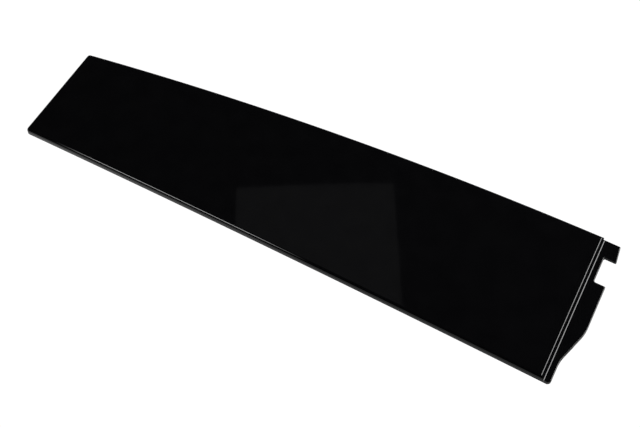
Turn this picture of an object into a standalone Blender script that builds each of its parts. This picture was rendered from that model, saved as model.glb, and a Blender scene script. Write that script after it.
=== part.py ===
"""Door pillar trim plate: a long tapered gloss cover with a moulded carrier, clips and seals behind it.

The cover's face points up. X runs along the plate to its wide, notched end, and Y runs across it.
Each piece is first built straight, then dropped onto the plate's lengthwise crown.
"""

import math

import bmesh
import bpy
from mathutils import Vector

MM = 0.001
# Clearance between neighbouring pieces, and how far a cutter runs past what it cuts.
GAP = 0.3 * MM
PAST = 2.0 * MM
CUTTER_REACH = 40.0 * MM
# Points closer together than this are merged after the cuts, and thinner triangles are turned round.
SHORTEST_EDGE = 0.005 * MM

# The gloss face: a tapered outline with slightly bowed long edges, crowned along its length.
FACE_LENGTH = 431.05 * MM
NARROW_WIDTH = 88.2 * MM
WIDE_WIDTH = 127.0 * MM
EDGE_BOW = 2.55 * MM
CROWN_RADIUS = 3020.0 * MM
FACE_END = FACE_LENGTH / 2
CROWN_STATIONS = 19
EDGE_PIECES = 20

# The cover's walls.
COVER_WALL = 2.4 * MM
FLANGE_DEPTH = 5.0 * MM
FLANGE_WALL = 2.0 * MM
EDGE_RADIUS = 2.4 * MM
FAR_CORNER_RADIUS = 2.6 * MM
NEAR_CORNER_RADIUS = 3.2 * MM
FAR_INNER_RADIUS = 1.0 * MM
NEAR_INNER_RADIUS = 1.5 * MM

# The stepped-down tab at the wide end, with its notch, lug and ogee corner.
STEP_DEPTH = 2.0 * MM
STEP_RUN = 2.4 * MM
STEP_TOP_RADIUS = 0.9 * MM
STEP_FOOT_RADIUS = 1.2 * MM
STEP_POCKET_SETBACK = 1.6 * MM
TAB_END = FACE_END + 15.9 * MM
TAB_NEAR_END = FACE_END + 7.3 * MM
TAB_FAR_SIDE = 62.5 * MM
TAB_SHOULDER = FACE_END + 1.6 * MM
TAB_FLANGE_WALL = 2.4 * MM
TAB_CORNER_RADIUS = 3.0 * MM
CORNER_STEPS = 4
LUG_FAR_END = FACE_END + 14.8 * MM
LUG_NEAR_END = FACE_END + 16.4 * MM
LUG_RADIUS = 0.9 * MM
NOTCH_FLOOR = FACE_END + 7.1 * MM
NOTCH_NEAR = 25.6 * MM
NOTCH_FAR = 48.3 * MM
NOTCH_RADIUS = 1.3 * MM
OGEE_START = -16.0 * MM
OGEE_END = -44.4 * MM
OGEE_RADIUS = 36.0 * MM

# The carrier behind the cover: a plate with a rim rib, cross ribs and six clip towers.
CARRIER_WALL = 2.0 * MM
CARRIER_INSET = FLANGE_WALL + 0.8 * MM
CARRIER_END = FACE_END - 3.4 * MM
RIM_INSET = 13.0 * MM
RIM_END = FACE_END - 14.0 * MM
RIB_WALL = 1.6 * MM
RIB_HEIGHT = 3.0 * MM
RIB_ROOT = 0.5 * MM
CROSS_RIB_STEP = 0.4 * MM
SPINE_STEP = 0.8 * MM
CROSS_RIBS = (-125.0 * MM, -85.0 * MM, -45.0 * MM, 45.0 * MM, 85.0 * MM, 125.0 * MM)
SPINE_HALF_LENGTH = 125.0 * MM
CARRIER_UNDERSIDE = -(COVER_WALL + GAP + CARRIER_WALL)

# Clip towers: three walls and a slotted foot, open towards +X.
TOWER_HALF_LENGTH = 9.6 * MM
TOWER_HALF_WIDTH = 8.1 * MM
TOWER_HEIGHT = 8.0 * MM
TOWER_WALL = 1.6 * MM
TOWER_ROOF = 0.7 * MM
TOWER_ROOT = 1.0 * MM
SLOT_HALF_WIDTH = 3.1 * MM
SLOT_CORNER_RADIUS = 2.5 * MM
THROAT_HALF_WIDTH = 2.5 * MM
THROAT_RAMP = 0.6 * MM
CLIP_FLOAT = 1.5 * MM
CLIP_PLACES = (
    (-165.0 * MM, 24.0 * MM),
    (-165.0 * MM, -24.0 * MM),
    (0.0 * MM, 31.0 * MM),
    (0.0 * MM, -31.0 * MM),
    (165.0 * MM, 38.0 * MM),
    (165.0 * MM, -38.0 * MM),
)
# The first clip has a close-fitting slot and locates the plate; the others float.
LOCATOR = 0

# Retainer clip, measured from the tower's foot: head inside the tower, shoulder and barbed stem below it.
HEAD_RADIUS = 6.0 * MM
HEAD_WALL = 1.4 * MM
HEAD_BEVEL = 0.4 * MM
NECK_RADIUS = 2.8 * MM
SHOULDER_RADIUS = 7.5 * MM
SHOULDER_WALL = 1.2 * MM
SHOULDER_BEVEL = 1.5 * MM
SHOULDER_FALL = 0.6 * MM
STEM_RADIUS = 2.5 * MM
BARB_RADIUS = 4.3 * MM
BARB_TOPS = (-5.2 * MM, -7.6 * MM, -10.0 * MM)
BARB_LIP = 0.5 * MM
BARB_DROP = 1.7 * MM
TIP_SHOULDER = -12.0 * MM
TIP_LIP = 0.2 * MM
TIP_BAND = 0.5 * MM
TIP_RADIUS = 3.3 * MM
TIP_END = -15.5 * MM
TIP_FLAT_RADIUS = 1.2 * MM
TURNED_STEPS = 16

# Sealing washer under each shoulder.
SEAL_INNER_RADIUS = 4.6 * MM
SEAL_OUTER_RADIUS = 7.4 * MM
SEAL_HEIGHT = 2.4 * MM
SEAL_BEVEL = 0.4 * MM

# Moulded studs on the cover, each with a push nut that holds the carrier.
STUD_PLACES = (
    (-186.0 * MM, 0.0 * MM),
    (-65.0 * MM, 22.0 * MM),
    (-65.0 * MM, -22.0 * MM),
    (65.0 * MM, 26.0 * MM),
    (65.0 * MM, -26.0 * MM),
    (186.0 * MM, 0.0 * MM),
)
STUD_RADIUS = 1.6 * MM
STUD_LENGTH = 6.4 * MM
STUD_ROOT = 0.6 * MM
STUD_SIDES = 12
STUD_HOLE_RADIUS = 2.1 * MM
NUT_HOLE_RADIUS = 1.9 * MM
NUT_RIM_RADIUS = 5.5 * MM
NUT_DISH_RADIUS = 3.4 * MM
NUT_DISH_HEIGHT = 0.9 * MM
NUT_WALL = 0.5 * MM

# Tape, liner, foam and felt strips.
TAPE_OUTER_INSET = 4.2 * MM
TAPE_WIDTH = 7.2 * MM
TAPE_WALL = 0.9 * MM
TAPE_HALF_LENGTH = 188.0 * MM
LINER_WALL = 0.25 * MM
LINER_PULL = 10.0 * MM
LINER_MARGIN = 0.5 * MM
FOAM_WALL = 5.0 * MM
FOAM_DEPTH = 8.0 * MM
FOAM_SIDE_INSET = 14.0 * MM
FOAM_STARTS = {"narrow": -FACE_END + 4.0 * MM, "wide": RIM_END + 1.0 * MM}
FELT_WALL = 1.0 * MM
STRIP_CORNER_RADIUS = 1.0 * MM
TAB_UNDERSIDE = -(STEP_DEPTH + COVER_WALL)
FELT_BOXES = {
    "tab": (FACE_END + 6.0 * MM, TAB_END - 2.0 * MM, -10.0 * MM, NOTCH_NEAR - 3.0 * MM),
    "lug": (NOTCH_FLOOR + 0.5 * MM, LUG_FAR_END - 1.5 * MM, NOTCH_FAR + 1.8 * MM, TAB_FAR_SIDE - 1.6 * MM),
}

# The whole plate stands on its end clips' tips, over the middle of its box.
FRAME_X = -(LUG_NEAR_END - FACE_END) / 2

MATERIALS = {
    "gloss_cover": ((0.006, 0.006, 0.007), 0.05, 0.0),
    "carrier_plastic": ((0.025, 0.025, 0.027), 0.55, 0.0),
    "clip_nylon": ((0.78, 0.76, 0.68), 0.45, 0.0),
    "seal_foam": ((0.05, 0.05, 0.055), 0.9, 0.0),
    "nut_steel": ((0.55, 0.55, 0.54), 0.35, 1.0),
    "bond_tape": ((0.08, 0.08, 0.085), 0.8, 0.0),
    "liner_film": ((0.62, 0.06, 0.05), 0.35, 0.0),
    "felt": ((0.035, 0.035, 0.038), 1.0, 0.0),
}


def drop(x):
    """How far the crown lies below its highest point at x; the tab runs on straight past the face's end."""
    inside = max(-FACE_END, min(FACE_END, x))
    return inside**2 / (2 * CROWN_RADIUS) + abs(inside) / CROWN_RADIUS * (abs(x) - abs(inside))


def half_width(x):
    """Half the face's width at x: a straight taper plus the bow of its long edges."""
    share = (x + FACE_END) / FACE_LENGTH
    taper = (NARROW_WIDTH + (WIDE_WIDTH - NARROW_WIDTH) * share) / 2
    return taper + EDGE_BOW * (1 - (x / FACE_END) ** 2)


def stand_height():
    """Height of the face's highest point when the end clips' tips are at zero."""
    return drop(CLIP_PLACES[0][0]) - CARRIER_UNDERSIDE + TOWER_HEIGHT - TIP_END


def clear_scene():
    for obj in list(bpy.data.objects):
        bpy.data.objects.remove(obj, do_unlink=True)


def make_collection(name):
    collection = bpy.data.collections.new(name)
    bpy.context.scene.collection.children.link(collection)
    return collection


def make_materials():
    for name, (colour, roughness, metallic) in MATERIALS.items():
        material = bpy.data.materials.new(name)
        material.use_nodes = True
        shader = material.node_tree.nodes["Principled BSDF"]
        shader.inputs["Base Color"].default_value = (*colour, 1.0)
        shader.inputs["Roughness"].default_value = roughness
        shader.inputs["Metallic"].default_value = metallic


def add_object(name, mesh, collection):
    obj = bpy.data.objects.new(name, mesh)
    collection.objects.link(obj)
    return obj


def finish_part(obj, material, frame):
    obj.data.materials.clear()
    obj.data.materials.append(bpy.data.materials[material])
    obj.parent = frame
    obj.data.shade_smooth()
    obj.data.set_sharp_from_angle(angle=math.radians(30))


def evaluated_mesh(obj):
    graph = bpy.context.evaluated_depsgraph_get()
    return bpy.data.meshes.new_from_object(obj.evaluated_get(graph))


def edit_mesh(mesh, change):
    """Runs change(bm) on the mesh."""
    bm = bmesh.new()
    bm.from_mesh(mesh)
    change(bm)
    bm.normal_update()
    bm.to_mesh(mesh)
    bm.free()


def fillet(before, corner, after, radius, steps):
    """Points of the arc that rounds a corner of a 2D path, from one tangent point to the other."""
    before, corner, after = Vector(before), Vector(corner), Vector(after)
    back = (before - corner).normalized()
    on = (after - corner).normalized()
    half = back.angle(on) / 2
    reach = radius / math.tan(half)
    centre = corner + (back + on).normalized() * (radius / math.sin(half))
    first = corner + back * reach - centre
    sweep = math.pi - 2 * half
    if back.x * on.y - back.y * on.x > 0:
        sweep = -sweep
    points = []
    for k in range(steps + 1):
        turn = sweep * k / steps
        x = first.x * math.cos(turn) - first.y * math.sin(turn)
        y = first.x * math.sin(turn) + first.y * math.cos(turn)
        points.append((centre.x + x, centre.y + y))
    return points


def rounded(corners, steps=4):
    """A closed outline from (x, y, radius) corners, with an arc wherever a radius is given."""
    outline = []
    for k, (x, y, radius) in enumerate(corners):
        if radius:
            before, after = corners[k - 1][:2], corners[(k + 1) % len(corners)][:2]
            outline += fillet(before, (x, y), after, radius, steps)
        else:
            outline.append((x, y))
    return outline


def extruded(name, outline, low, high, collection):
    """A solid with this outline in plan, from height low to height high."""
    curve = bpy.data.curves.new(name, "CURVE")
    curve.dimensions = "2D"
    curve.fill_mode = "BOTH"
    curve.extrude = (high - low) / 2
    spline = curve.splines.new("POLY")
    spline.points.add(len(outline) - 1)
    for point, (x, y) in zip(spline.points, outline):
        point.co = (x, y, 0.0, 1.0)
    spline.use_cyclic_u = True
    flat = add_object(name + "_outline", curve, collection)
    flat.location.z = (low + high) / 2
    bpy.context.view_layer.update()
    mesh = evaluated_mesh(flat)
    mesh.transform(flat.matrix_world)
    bpy.data.objects.remove(flat)

    def close_caps(bm):
        bmesh.ops.remove_doubles(bm, verts=bm.verts, dist=0.002 * MM)
        flat_edges = [e for e in bm.edges if len(e.link_faces) == 2 and e.calc_face_angle() < 1e-4]
        bmesh.ops.dissolve_edges(bm, edges=flat_edges, use_verts=False)
        bmesh.ops.recalc_face_normals(bm, faces=bm.faces)

    edit_mesh(mesh, close_caps)
    return add_object(name, mesh, collection)


def box(name, low, high, collection):
    mesh = bpy.data.meshes.new(name)
    low, high = Vector(low), Vector(high)

    def shape(bm):
        bmesh.ops.create_cube(bm, size=1.0)
        for vertex in bm.verts:
            share = vertex.co + Vector((0.5, 0.5, 0.5))
            vertex.co = low + Vector(a * b for a, b in zip(share, high - low))

    edit_mesh(mesh, shape)
    return add_object(name, mesh, collection)


def rod(name, centre, radius, low, high, collection):
    """An upright round rod at (x, y), from height low to height high."""
    mesh = bpy.data.meshes.new(name)

    def shape(bm):
        bmesh.ops.create_cone(
            bm, cap_ends=True, segments=STUD_SIDES, radius1=radius, radius2=radius, depth=high - low
        )
        bmesh.ops.translate(bm, verts=bm.verts, vec=(centre[0], centre[1], (low + high) / 2))

    edit_mesh(mesh, shape)
    return add_object(name, mesh, collection)


def combine(target, other, operation):
    """Cuts other from target, or joins it on, and keeps other as a hidden helper."""
    modifier = target.modifiers.new(operation.lower(), "BOOLEAN")
    modifier.operation = operation
    modifier.solver = "EXACT"
    modifier.object = other
    bpy.context.view_layer.update()
    mesh = evaluated_mesh(target)
    target.modifiers.remove(modifier)
    target.data = mesh
    other.hide_render = True
    other.display_type = "WIRE"


def long_sides_of_slivers(bm):
    """The longest edge of every triangle that is thinner than SHORTEST_EDGE."""
    found = []
    for face in bm.faces:
        longest = max(face.edges, key=lambda edge: edge.calc_length())
        if 2 * face.calc_area() < SHORTEST_EDGE * longest.calc_length():
            found.append(longest)
    return found


def crown(obj):
    """Splits a straight piece at even stations along X, then drops it onto the crown."""

    def bend(bm):
        for k in range(CROWN_STATIONS + 1):
            x = -FACE_END + FACE_LENGTH * k / CROWN_STATIONS
            whole = bm.verts[:] + bm.edges[:] + bm.faces[:]
            bmesh.ops.bisect_plane(bm, geom=whole, dist=0.001 * MM, plane_co=(x, 0, 0), plane_no=(1, 0, 0))
        bmesh.ops.remove_doubles(bm, verts=bm.verts, dist=SHORTEST_EDGE)
        for vertex in bm.verts:
            vertex.co.z -= drop(vertex.co.x)
        bmesh.ops.triangulate(bm, faces=bm.faces)
        bmesh.ops.rotate_edges(bm, edges=long_sides_of_slivers(bm))

    edit_mesh(obj.data, bend)


def turned(name, profile, collection):
    """A round piece about its own Z axis from a profile of (radius, height), run from top to bottom."""
    mesh = bpy.data.meshes.new(name)
    points = [(radius, 0.0, height) for radius, height in profile]
    mesh.from_pydata(points, [(k, k + 1) for k in range(len(points) - 1)], [])
    obj = add_object(name, mesh, collection)
    screw = obj.modifiers.new("turn", "SCREW")
    screw.axis = "Z"
    screw.steps = TURNED_STEPS
    screw.render_steps = TURNED_STEPS
    screw.use_merge_vertices = True
    screw.merge_threshold = 0.01 * MM
    return obj


def long_edge(side, inset, start, end):
    """Points along one long edge, side +1 or -1, moved in by inset, from x start to x end."""
    points = []
    for k in range(EDGE_PIECES + 1):
        x = start + (end - start) * k / EDGE_PIECES
        points.append((x, side * (half_width(x) - inset), 0))
    return points


def plate_outline(inset, right_end, far_radius=0, near_radius=0):
    """The tapered outline moved in by inset and cut square at right_end."""
    left = -FACE_END + inset
    far = long_edge(1, inset, left, right_end)
    near = long_edge(-1, inset, right_end, left)
    far[0] = (far[0][0], far[0][1], far_radius)
    near[-1] = (near[-1][0], near[-1][1], near_radius)
    return rounded(far + near)


def run_on(inner, last, chords=5):
    """The point reached by following the chord from inner to last on past the surface it leaves."""
    return tuple(a + chords * (b - a) for a, b in zip(inner, last))


def step_cutter(cutters):
    """Everything above the step and the tab: its lower edge runs down the step with both of its radii."""
    top, foot = (FACE_END, 0.0), (FACE_END + STEP_RUN, -STEP_DEPTH)
    beyond = FACE_END + CUTTER_REACH
    crest = fillet((0.0, 0.0), top, foot, STEP_TOP_RADIUS, 3)
    root = fillet(top, foot, (beyond, -STEP_DEPTH), STEP_FOOT_RADIUS, 3)
    over = run_on(crest[1], crest[0])
    profile = [(over[0], PAST), over] + crest[1:] + root + [(beyond, -STEP_DEPTH), (beyond, PAST)]
    cutter = extruded("step_cutter", profile, -WIDE_WIDTH, WIDE_WIDTH, cutters)
    for vertex in cutter.data.vertices:
        x, z, y = vertex.co
        vertex.co = (x, y, z)
    cutter.data.flip_normals()
    return cutter


def tab_cutter(cutters):
    """Everything outside the tab's own outline: side ledge, lug, notch, ogee and rounded near corner."""
    beyond, outside = FACE_END + CUTTER_REACH, WIDE_WIDTH
    near_side = -half_width(TAB_NEAR_END)
    corner = fillet(
        (TAB_NEAR_END, OGEE_END),
        (TAB_NEAR_END, near_side),
        (0.0, near_side),
        TAB_CORNER_RADIUS,
        CORNER_STEPS,
    )
    corners = [
        (TAB_SHOULDER, outside, 0),
        (TAB_SHOULDER, TAB_FAR_SIDE, 0),
        (LUG_FAR_END, TAB_FAR_SIDE, LUG_RADIUS),
        (LUG_NEAR_END, NOTCH_FAR, LUG_RADIUS),
        (NOTCH_FLOOR, NOTCH_FAR, NOTCH_RADIUS),
        (NOTCH_FLOOR, NOTCH_NEAR, NOTCH_RADIUS),
        (TAB_END, NOTCH_NEAR, LUG_RADIUS),
        (TAB_END, OGEE_START, OGEE_RADIUS),
        (TAB_NEAR_END, OGEE_END, OGEE_RADIUS),
    ]
    corners += [(x, y, 0) for x, y in corner[:-1]]
    last = run_on(corner[-2], corner[-1])
    corners += [(*last, 0), (last[0], -outside, 0), (beyond, -outside, 0), (beyond, outside, 0)]
    return extruded("tab_cutter", rounded(corners), -CUTTER_REACH, CUTTER_REACH, cutters)


def make_cover(parts, cutters):
    """The gloss cover: rounded face, return flange on three sides, step, tab and studs."""
    outline = plate_outline(0.0, LUG_FAR_END + PAST, FAR_CORNER_RADIUS, NEAR_CORNER_RADIUS)
    cover = extruded("outer_cover", outline, -FLANGE_DEPTH, 0.0, parts)

    def round_top(bm):
        rim = [e for e in bm.edges if all(abs(v.co.z) < 0.01 * MM for v in e.verts)]
        bmesh.ops.bevel(bm, geom=rim, offset=EDGE_RADIUS, segments=3, profile=0.5, affect="EDGES")

    edit_mesh(cover.data, round_top)
    combine(cover, step_cutter(cutters), "DIFFERENCE")
    combine(cover, tab_cutter(cutters), "DIFFERENCE")
    below = -FLANGE_DEPTH - PAST
    pocket_end = FACE_END - STEP_POCKET_SETBACK
    inside = plate_outline(FLANGE_WALL, pocket_end, FAR_INNER_RADIUS, NEAR_INNER_RADIUS)
    combine(cover, extruded("face_pocket", inside, below, -COVER_WALL, cutters), "DIFFERENCE")
    tab_pocket = box(
        "tab_pocket",
        (FACE_END - 5 * MM, -WIDE_WIDTH / 2 + TAB_FLANGE_WALL, below),
        (FACE_END + CUTTER_REACH, WIDE_WIDTH, TAB_UNDERSIDE),
        cutters,
    )
    combine(cover, tab_pocket, "DIFFERENCE")
    for k, place in enumerate(STUD_PLACES):
        stud_end = -COVER_WALL - STUD_LENGTH
        stud = rod(f"stud_{k + 1}", place, STUD_RADIUS, stud_end, STUD_ROOT - COVER_WALL, cutters)
        combine(cover, stud, "UNION")
    crown(cover)
    return cover


def make_tower(index, cutters):
    """One clip tower, level in the plate's frame, with a slot that lets the clip's neck float along X."""
    x, y = CLIP_PLACES[index]
    underside = CARRIER_UNDERSIDE - drop(x)
    foot = underside - TOWER_HEIGHT
    tower = box(
        f"tower_{index + 1}",
        (x - TOWER_HALF_LENGTH, y - TOWER_HALF_WIDTH, foot),
        (x + TOWER_HALF_LENGTH, y + TOWER_HALF_WIDTH, underside + TOWER_ROOT),
        cutters,
    )
    mouth = x + TOWER_HALF_LENGTH + PAST
    chamber = box(
        f"chamber_{index + 1}",
        (x - TOWER_HALF_LENGTH + TOWER_WALL, y - TOWER_HALF_WIDTH + TOWER_WALL, foot + TOWER_WALL),
        (mouth, y + TOWER_HALF_WIDTH - TOWER_WALL, underside - TOWER_ROOF),
        cutters,
    )
    combine(tower, chamber, "DIFFERENCE")
    reach = NECK_RADIUS + GAP + (0.0 if index == LOCATOR else CLIP_FLOAT)
    throat = x + reach + THROAT_RAMP
    outline = rounded(
        [
            (x - reach, y + SLOT_HALF_WIDTH, SLOT_CORNER_RADIUS),
            (x - reach, y - SLOT_HALF_WIDTH, SLOT_CORNER_RADIUS),
            (x + reach, y - SLOT_HALF_WIDTH, 0),
            (throat, y - THROAT_HALF_WIDTH, 0),
            (mouth, y - THROAT_HALF_WIDTH, 0),
            (mouth, y + THROAT_HALF_WIDTH, 0),
            (throat, y + THROAT_HALF_WIDTH, 0),
            (x + reach, y + SLOT_HALF_WIDTH, 0),
        ]
    )
    slot = extruded(f"slot_{index + 1}", outline, foot - PAST, foot + TOWER_WALL + PAST, cutters)
    combine(tower, slot, "DIFFERENCE")
    return tower


def make_ribs(carrier, cutters):
    """Adds the rim rib, the cross ribs and the spine; each is a little shallower than the one before."""
    low = CARRIER_UNDERSIDE - RIB_HEIGHT
    root = CARRIER_UNDERSIDE + RIB_ROOT
    rim = extruded("rim_rib", plate_outline(RIM_INSET, RIM_END), low, root, cutters)
    inside = plate_outline(RIM_INSET + RIB_WALL, RIM_END - RIB_WALL)
    combine(rim, extruded("rim_core", inside, low - PAST, root + PAST, cutters), "DIFFERENCE")
    combine(carrier, rim, "UNION")
    half = RIB_WALL / 2
    for k, x in enumerate(CROSS_RIBS):
        side = half_width(x) - RIM_INSET - half
        rib_low = (x - half, -side, low + CROSS_RIB_STEP)
        rib_high = (x + half, side, root - RIB_ROOT / 4)
        combine(carrier, box(f"cross_rib_{k + 1}", rib_low, rib_high, cutters), "UNION")
    spine_low = (-SPINE_HALF_LENGTH, -half, low + SPINE_STEP)
    spine_high = (SPINE_HALF_LENGTH, half, root - RIB_ROOT / 2)
    combine(carrier, box("spine_rib", spine_low, spine_high, cutters), "UNION")


def make_carrier(parts, cutters):
    """The carrier: ribbed plate with holes for the studs and six clip towers."""
    top = -(COVER_WALL + GAP)
    outline = plate_outline(CARRIER_INSET, CARRIER_END, FAR_INNER_RADIUS, NEAR_INNER_RADIUS)
    carrier = extruded("inner_carrier", outline, CARRIER_UNDERSIDE, top, parts)
    make_ribs(carrier, cutters)
    for k, place in enumerate(STUD_PLACES):
        name = f"stud_hole_{k + 1}"
        hole = rod(name, place, STUD_HOLE_RADIUS, CARRIER_UNDERSIDE - PAST, top + PAST, cutters)
        combine(carrier, hole, "DIFFERENCE")
    crown(carrier)
    for k in range(len(CLIP_PLACES)):
        combine(carrier, make_tower(k, cutters), "UNION")
    return carrier


def clip_profile():
    """Head, neck, domed shoulder, barbed stem and tip, from top to bottom."""
    head_low = TOWER_WALL + GAP
    shoulder_top = -GAP
    shoulder_low = shoulder_top - SHOULDER_WALL
    profile = [
        (0.0, head_low + HEAD_WALL),
        (HEAD_RADIUS - HEAD_BEVEL, head_low + HEAD_WALL),
        (HEAD_RADIUS, head_low + HEAD_WALL - HEAD_BEVEL),
        (HEAD_RADIUS, head_low),
        (NECK_RADIUS, head_low),
        (NECK_RADIUS, shoulder_top),
        (SHOULDER_RADIUS - SHOULDER_BEVEL, shoulder_top),
        (SHOULDER_RADIUS, shoulder_top - SHOULDER_FALL),
        (SHOULDER_RADIUS, shoulder_low),
        (STEM_RADIUS, shoulder_low),
    ]
    for top in BARB_TOPS:
        profile += [
            (STEM_RADIUS, top),
            (BARB_RADIUS, top - BARB_LIP / 2),
            (BARB_RADIUS, top - BARB_LIP),
            (STEM_RADIUS, top - BARB_DROP),
        ]
    profile += [
        (STEM_RADIUS, TIP_SHOULDER + TIP_LIP),
        (TIP_RADIUS, TIP_SHOULDER),
        (TIP_RADIUS, TIP_SHOULDER - TIP_BAND),
        (TIP_FLAT_RADIUS, TIP_END),
        (0.0, TIP_END),
    ]
    return profile


def seal_profile():
    top = -(GAP + SHOULDER_WALL + GAP)
    low = top - SEAL_HEIGHT
    return [
        (SEAL_INNER_RADIUS, low),
        (SEAL_INNER_RADIUS, top),
        (SEAL_OUTER_RADIUS - SEAL_BEVEL, top),
        (SEAL_OUTER_RADIUS, top - SEAL_BEVEL),
        (SEAL_OUTER_RADIUS, low + SEAL_BEVEL),
        (SEAL_OUTER_RADIUS - SEAL_BEVEL, low),
        (SEAL_INNER_RADIUS, low),
    ]


def nut_profile():
    """A dished push nut: flat rim against the carrier, teeth cone rising away from it."""
    return [
        (NUT_HOLE_RADIUS, -NUT_DISH_HEIGHT - NUT_WALL),
        (NUT_HOLE_RADIUS, -NUT_DISH_HEIGHT),
        (NUT_DISH_RADIUS, 0.0),
        (NUT_RIM_RADIUS, 0.0),
        (NUT_RIM_RADIUS, -NUT_WALL),
        (NUT_DISH_RADIUS, -NUT_WALL),
        (NUT_HOLE_RADIUS, -NUT_DISH_HEIGHT - NUT_WALL),
    ]


def make_clips(parts, frame):
    """Six retainer clips and their sealing washers, each with its origin on its own axis."""
    for k, (x, y) in enumerate(CLIP_PLACES):
        place = (x, y, CARRIER_UNDERSIDE - drop(x) - TOWER_HEIGHT)
        clip = turned(f"retainer_clip_{k + 1}", clip_profile(), parts)
        clip.location = place
        finish_part(clip, "clip_nylon", frame)
        seal = turned(f"clip_seal_{k + 1}", seal_profile(), parts)
        seal.location = place
        finish_part(seal, "seal_foam", frame)


def make_nuts(parts, frame):
    for k, (x, y) in enumerate(STUD_PLACES):
        nut = turned(f"push_nut_{k + 1}", nut_profile(), parts)
        nut.location = (x, y, CARRIER_UNDERSIDE - GAP - drop(x))
        nut.rotation_euler.y = math.atan(x / CROWN_RADIUS)
        finish_part(nut, "nut_steel", frame)


def make_strip(name, outline, top, wall, material, parts, frame):
    strip = extruded(name, outline, top - wall, top, parts)
    crown(strip)
    finish_part(strip, material, frame)


def band_outline(side, outer, inner, start, end):
    """A band that follows one long edge, between two insets from it."""
    points = long_edge(side, outer, start, end) + long_edge(side, inner, end, start)
    return [(x, y) for x, y, radius in points]


def pad_outline(x_low, x_high, y_low, y_high):
    corners = ((x_low, y_low), (x_high, y_low), (x_high, y_high), (x_low, y_high))
    return rounded([(x, y, STRIP_CORNER_RADIUS) for x, y in corners])


def make_tapes(parts, frame):
    """Bonding tape along both long sides, each with a liner that runs on past one end as a pull tab."""
    top = CARRIER_UNDERSIDE - GAP
    liner_top = top - TAPE_WALL - GAP
    span = TAPE_HALF_LENGTH
    outer, inner = TAPE_OUTER_INSET, TAPE_OUTER_INSET + TAPE_WIDTH
    margin = LINER_MARGIN
    for name, side in (("far", 1), ("near", -1)):
        tape = band_outline(side, outer, inner, -span, span)
        make_strip(f"bond_tape_{name}", tape, top, TAPE_WALL, "bond_tape", parts, frame)
        liner = band_outline(side, outer - margin, inner + margin, -span - margin, span + LINER_PULL)
        make_strip(f"tape_liner_{name}", liner, liner_top, LINER_WALL, "liner_film", parts, frame)


def make_pads(parts, frame):
    """Foam seals across both ends of the carrier and felt under the tab and its lug."""
    for name, x in FOAM_STARTS.items():
        side = half_width(x) - FOAM_SIDE_INSET
        outline = pad_outline(x, x + FOAM_DEPTH, -side, side)
        make_strip(f"end_foam_{name}", outline, CARRIER_UNDERSIDE - GAP, FOAM_WALL, "seal_foam", parts, frame)
    for name, limits in FELT_BOXES.items():
        outline = pad_outline(*limits)
        make_strip(f"felt_pad_{name}", outline, TAB_UNDERSIDE - GAP, FELT_WALL, "felt", parts, frame)


def main():
    clear_scene()
    make_materials()
    parts = make_collection("pillar_trim_plate")
    cutters = make_collection("cutters")
    frame = add_object("plate_frame", None, parts)
    frame.location = (FRAME_X, 0.0, stand_height())
    finish_part(make_cover(parts, cutters), "gloss_cover", frame)
    finish_part(make_carrier(parts, cutters), "carrier_plastic", frame)
    make_clips(parts, frame)
    make_nuts(parts, frame)
    make_tapes(parts, frame)
    make_pads(parts, frame)


main()
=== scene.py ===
import math

import bmesh
import bpy
from mathutils import Matrix, Vector


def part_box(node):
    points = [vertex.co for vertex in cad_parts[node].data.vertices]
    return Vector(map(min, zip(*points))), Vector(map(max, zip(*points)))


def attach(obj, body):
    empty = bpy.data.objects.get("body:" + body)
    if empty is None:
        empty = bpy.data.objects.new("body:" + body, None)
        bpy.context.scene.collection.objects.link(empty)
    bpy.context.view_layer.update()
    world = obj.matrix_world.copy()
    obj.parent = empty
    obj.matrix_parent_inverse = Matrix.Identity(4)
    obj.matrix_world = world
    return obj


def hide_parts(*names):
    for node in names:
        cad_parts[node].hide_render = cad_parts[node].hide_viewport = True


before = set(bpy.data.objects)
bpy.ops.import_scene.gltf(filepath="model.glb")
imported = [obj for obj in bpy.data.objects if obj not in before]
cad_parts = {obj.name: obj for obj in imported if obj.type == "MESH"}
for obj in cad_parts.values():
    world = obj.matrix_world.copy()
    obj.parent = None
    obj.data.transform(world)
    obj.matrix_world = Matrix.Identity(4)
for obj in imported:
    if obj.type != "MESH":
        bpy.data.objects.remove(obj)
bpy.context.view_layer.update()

MM = 0.001
GAP = 0.3 * MM

# The part's own dimensions, finer than the CAD solids need them.
FACE_LENGTH, NARROW_WIDTH, WIDE_WIDTH, EDGE_BOW = 431.05 * MM, 88.2 * MM, 127.0 * MM, 2.55 * MM
FACE_END = FACE_LENGTH / 2
CROWN_RADIUS = 3020.0 * MM
COVER_WALL, FLANGE_DEPTH, FLANGE_WALL, EDGE_RADIUS = 2.4 * MM, 5.0 * MM, 2.0 * MM, 2.4 * MM
FAR_CORNER_RADIUS, NEAR_CORNER_RADIUS = 2.6 * MM, 3.2 * MM
FAR_INNER_RADIUS, NEAR_INNER_RADIUS = 1.0 * MM, 1.5 * MM
STEP_DEPTH, STEP_RUN, STEP_TOP_RADIUS, STEP_FOOT_RADIUS = 2.0 * MM, 2.4 * MM, 0.9 * MM, 1.2 * MM
STEP_POCKET_SETBACK = 1.6 * MM
TAB_END, TAB_NEAR_END = FACE_END + 15.9 * MM, FACE_END + 7.3 * MM
TAB_FAR_SIDE, TAB_SHOULDER = 62.5 * MM, FACE_END + 1.6 * MM
TAB_FLANGE_WALL, TAB_CORNER_RADIUS, TAB_EDGE_RADIUS = 2.4 * MM, 3.0 * MM, 0.6 * MM
LUG_FAR_END, LUG_NEAR_END, LUG_RADIUS = FACE_END + 14.8 * MM, FACE_END + 16.4 * MM, 0.9 * MM
NOTCH_FLOOR, NOTCH_NEAR, NOTCH_FAR = FACE_END + 7.1 * MM, 25.6 * MM, 48.3 * MM
NOTCH_RADIUS = 1.3 * MM
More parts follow.
